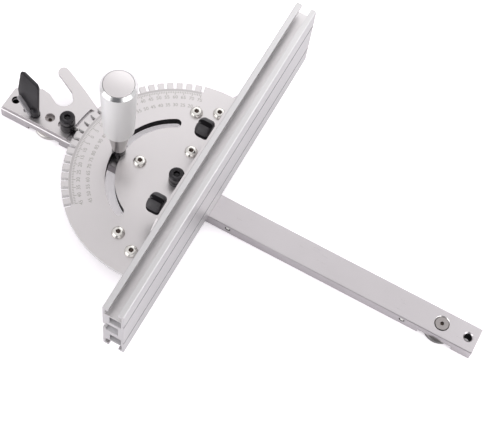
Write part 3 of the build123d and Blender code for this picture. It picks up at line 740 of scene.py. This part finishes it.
# Handle. Turned from bar, satin anodised, with a bevel cut bright round its top
# and a flat cap pressed in.
SATIN_ALLOY = ((0.91, 0.91, 0.905, 1), (0.87, 0.87, 0.865, 1))
FACED_ALLOY = ((0.72, 0.695, 0.7, 1), (0.69, 0.665, 0.67, 1))
CONE_SHADE = ((0.56, 0.545, 0.54, 1), (0.5, 0.485, 0.48, 1))
POLISHED_ALLOY = ((0.88, 0.88, 0.88, 1), (0.84, 0.84, 0.84, 1))
TURNING_GRAIN = (500, 500, 1500)
POLISHED_DEPTH = 0.002 * MM
CONE_HEIGHT = 24.0 * MM
CONE_RADIUS = 8.0 * MM
FOOT_RADIUS = 4.75 * MM
HEEL_RADIUS = 10.4 * MM
HEEL_ROUND = 1.6 * MM
HEEL_TURNS = (0, 15, 30, 45, 60, 75, 90)
RIM_HEIGHT = 2.2 * MM
RIM_RADIUS = 10.2 * MM
CAP_RECESS = 0.6 * MM
RIM_LIP = 0.1 * MM
HANDLE_SIDES = 96
BEVEL_TILTS = (0.3, 0.9)
PAINT_SPARE = 0.1 * MM
BEVEL_PAINT, CONE_PAINT, RECESS_PAINT = 1, 2, 3

satin_alloy = metal("satin_alloy", SATIN_ALLOY, roughness=0.45, grain=TURNING_GRAIN, metallic=0.65)
polished_alloy = metal("polished_alloy", POLISHED_ALLOY, roughness=0.16, grain=TURNING_GRAIN,
                       depth=POLISHED_DEPTH, edge=FINE_EDGE)
# The cone under the grip is painted darker, as painted shade and reflection.
cone_shade = metal("cone_shade", CONE_SHADE, roughness=0.3, grain=TURNING_GRAIN)
low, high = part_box("handle_grip")
handle_foot = Vector(((low.x + high.x) / 2, (low.y + high.y) / 2, 0))
handle_radius = (high.x - low.x) / 2
waist = low.z + CONE_HEIGHT
rings = [(FOOT_RADIUS, low.z, ROUND), (CONE_RADIUS, waist, ROUND)]
for turn in HEEL_TURNS:
    inset = HEEL_ROUND * (1 - sin(radians(turn)))
    rise = HEEL_ROUND * (1 - cos(radians(turn)))
    rings.append((HEEL_RADIUS - inset, waist + rise, ROUND))
rings += [(handle_radius, high.z - RIM_HEIGHT, ROUND), (RIM_RADIUS, high.z, ROUND)]
rings += [(RIM_RADIUS - RIM_LIP, high.z, ROUND), (RIM_RADIUS - RIM_LIP, high.z - CAP_RECESS, ROUND)]
grip = show("grip", turned(handle_foot, rings, sides=HANDLE_SIDES), satin_alloy, "handle",
            ["handle_grip"], crease=25)
for extra in (polished_alloy, cone_shade, bore_shade):
    grip.data.materials.append(extra)
# The recess floor round the cap is painted dark, as painted shade.
for polygon in grip.data.polygons:
    from_recess = abs(polygon.center.z - high.z + CAP_RECESS)
    if BEVEL_TILTS[0] < polygon.normal.z < BEVEL_TILTS[1]:
        polygon.material_index = BEVEL_PAINT
    elif polygon.center.z < waist + PAINT_SPARE:
        polygon.material_index = CONE_PAINT
    elif from_recess < PAINT_SPARE:
        polygon.material_index = RECESS_PAINT

# Handle cap. A disc turned from the same alloy, with its edge just broken. It is pressed
# into the recess in the grip's top. Its side wall and the recess floor are painted dark as shade,
# so a fine dark line shows round it.
CAP_EDGE = 0.25 * MM
CAP_GAP = 0.25 * MM
CAP_WALL_TILT = 0.3

low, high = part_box("handle_cap")
cap_radius = RIM_RADIUS - RIM_LIP - CAP_GAP
rings = [(cap_radius, low.z, ROUND)]
rings += rounded(cap_radius - CAP_EDGE, cap_radius, high.z - CAP_EDGE, high.z, steps=4)
faced_alloy = metal("faced_alloy", FACED_ALLOY, roughness=0.34, grain=FINE_GRAIN)
grip_cap = show("grip_cap", turned(handle_foot, rings, sides=HANDLE_SIDES), faced_alloy, "handle",
                ["handle_cap"], crease=60)
# The cap's side wall is painted dark, as painted shade.
grip_cap.data.materials.append(bore_shade)
for polygon in grip_cap.data.polygons:
    if abs(polygon.normal.z) < CAP_WALL_TILT:
        polygon.material_index = 1

# Handle stud and collar. The stud clamps the head through its arc slot, and the collar
# bears on both sides of the slot.
coat("handle_stud", black_oxide)
coat("handle_collar", black_oxide)

# Index plate. Cut from plate and blasted like the head, it is stepped down where it runs
# under the rim. The wall of the step and the relief groove at its foot are painted a little darker,
# as painted shade.
RELIEF_SHADE = ((0.6, 0.58, 0.59, 1), (0.55, 0.53, 0.54, 1))
STEP_RADII = (79.0 * MM, 80.7 * MM)
STEP_INSET = 0.2 * MM


def in_relief(centre, normal):
    """True on the wall of the step and in the groove at its foot."""
    on_step = STEP_RADII[0] < centre.xy.length < STEP_RADII[1]
    return on_step and plate_low.z + STEP_INSET < centre.z < plate_high.z - STEP_INSET


def in_plate_bore(centre, normal):
    """True on the wall of the hole over the bar's end bore."""
    from_axis = Vector((centre.x - bar_low.x - END_BORE_INSET, centre.y)).length
    return abs(normal.z) < WALL_TILT and from_axis < BORE_REACH


plate_low, plate_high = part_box("index_plate")
relief_shade = metal("relief_shade", RELIEF_SHADE, roughness=0.5, grain=BLASTED_GRAIN)
coat("index_plate", blasted_alloy)
line("index_plate", relief_shade, in_relief)
# The wall of the hole is painted dark, as painted shade.
line("index_plate", bore_shade, in_plate_bore)

# Index tooth. A hardened key on a flat foot that lies on the plate's step. It locks the head
# at a notch. It is blackened, but its upright is worn to bare steel.
TOOTH_WIDTH = 1.9 * MM
TOOTH_LENGTH = 1.9 * MM
TOOTH_FOOT_HEIGHT = 1.2 * MM
TOOTH_FOOT_LENGTH = 2.6 * MM
TOOTH_FOOT_SPARE = (3.4 * MM, 2.4 * MM)
TOOTH_SETBACK = 0.2 * MM
TOOTH_EDGE = 0.2 * MM


def block(low, high, shape):
    """Adds a box between two corners."""
    around = ((low[0], low[1]), (high[0], low[1]), (high[0], high[1]), (low[0], high[1]))
    corners = [shape.verts.new((x, y, z)) for z in (low[2], high[2]) for x, y in around]
    shape.faces.new(corners[3::-1])
    shape.faces.new(corners[4:])
    for index in range(4):
        following = (index + 1) % 4
        below = (corners[index], corners[following])
        above = (corners[following + 4], corners[index + 4])
        shape.faces.new(below + above)


low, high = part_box("index_tooth")
key = bmesh.new()
foot_top = low.z + TOOTH_FOOT_HEIGHT
key_front = high.x - TOOTH_SETBACK
foot_ys = (low.y + TOOTH_FOOT_SPARE[0], high.y - TOOTH_FOOT_SPARE[1])
block((low.x, foot_ys[0], low.z), (low.x + TOOTH_FOOT_LENGTH, foot_ys[1], foot_top), key)
key_rear, half = key_front - TOOTH_LENGTH, TOOTH_WIDTH / 2
block((key_rear, -half, foot_top), (key_front, half, high.z), key)
bmesh.ops.bevel(key, geom=key.edges[:], offset=TOOTH_EDGE, segments=2, profile=0.5, affect="EDGES")
index_key = show("index_key", key, black_oxide, "index", ["index_tooth"], crease=40)
index_key.data.materials.append(worn_steel_and_shade)
for polygon in index_key.data.polygons:
    if polygon.center.z > foot_top:
        polygon.material_index = 1

# Index guide. A socket cap screw and a collar, both of blackened steel, hold the index
# plate to the bar. A slot in the plate lets it slide past them.
coat("index_guide_collar", black_oxide)
cap_screw("guide_cap_screw", "index_guide_screw")

# Wing lever. A flag moulded in black plastic on a round stem, with a rib
# along its sloping lower edge. It clamps the index plate. Its rib is painted light grey, as a
# painted highlight.
WING_BLACK = ((0.015, 0.0135, 0.017, 1), (0.009, 0.0075, 0.01, 1))
RIB_HIGHLIGHT = ((0.36, 0.35, 0.365, 1), (0.3, 0.29, 0.305, 1))
WING_THICKNESS = 2.4 * MM
WING_EDGE = 0.7 * MM
WING_RIB_THICKNESS = 8.0 * MM
WING_RIB_WIDTH = 2.0 * MM
STEM_RADIUS = 3.0 * MM
STEM_HEIGHT = 7.5 * MM
STEM_EDGE = 1 * MM
# Corners of the flag in millimetres, across and above the foot of its stem
WING_OUTLINE = [(2.7, 0), (5.3, 36.8), (4.4, 40.4), (-4.9, 47.9), (-7.7, 46.5), (-11.3, 25.0),
                (-11.3, 17.3), (-3.0, 0)]


def slab(points, y, thickness, edge, paint, shape):
    """Adds an upright slab with rounded edges, from the outline of its side and a paint."""
    known = set(shape.faces)
    first = [shape.verts.new((x, y - thickness / 2, z)) for x, z in points]
    second = [shape.verts.new((x, y + thickness / 2, z)) for x, z in points]
    faces = [shape.faces.new(first), shape.faces.new(second[::-1])]
    for index in range(len(points)):
        following = (index + 1) % len(points)
        corners = (first[index], second[index], second[following], first[following])
        faces.append(shape.faces.new(corners))
    edges = {border for side in faces for border in side.edges}
    bmesh.ops.recalc_face_normals(shape, faces=faces)
    bmesh.ops.bevel(shape, geom=list(edges), offset=edge, segments=3, profile=0.5, affect="EDGES")
    for side in shape.faces:
        if side not in known:
            side.material_index = paint


low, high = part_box("wing_washer")
wing_foot = Vector(((low.x + high.x) / 2, (low.y + high.y) / 2, high.z))
flag = bmesh.new()
outline = [(wing_foot.x + x * MM, wing_foot.z + z * MM) for x, z in WING_OUTLINE]
slab(outline, wing_foot.y, WING_THICKNESS, WING_EDGE, 0, flag)
rib_top, rib_foot = Vector(outline[-2]), Vector(outline[-1])
along = (rib_top - rib_foot).normalized()
across = Vector((-along.y, along.x)) * -WING_RIB_WIDTH
rib = [rib_foot, rib_top, rib_top + across, rib_foot + across]
slab([tuple(point) for point in rib], wing_foot.y, WING_RIB_THICKNESS, WING_EDGE, 1, flag)
stem = [(STEM_RADIUS, 0, ROUND), (STEM_RADIUS, STEM_HEIGHT - STEM_EDGE, ROUND)]
stem += [(STEM_RADIUS - STEM_EDGE, STEM_HEIGHT, ROUND)]
turned(wing_foot, stem, flag, sides=48)
# The bevels list their faces in another order on each run, so the faces are sorted
flag.verts.index_update()
corners = {side: sorted(corner.index for corner in side.verts) for side in flag.faces}
ranks = {side: rank for rank, side in enumerate(sorted(corners, key=corners.get))}
flag.faces.sort(key=ranks.get)
wing_black = metal("wing_black", WING_BLACK, roughness=0.42, grain=MOULDED_GRAIN,
                   depth=MOULDED_DEPTH, metallic=0.0, specular=0.35)
rib_highlight = metal("rib_highlight", RIB_HIGHLIGHT, roughness=0.4, grain=MOULDED_GRAIN,
                  depth=MOULDED_DEPTH, metallic=0.0)
wing_flag = show("wing_flag", flag, wing_black, "wing", ["wing_lever"], crease=30)
# The rib's faces are painted light grey, as a painted highlight.
wing_flag.data.materials.append(rib_highlight)

# Wing stud and washer. The stud draws the lever down on the washer, which bears on both sides
# of the plate's slot.
coat("wing_stud", black_oxide)
coat("wing_washer", black_oxide)
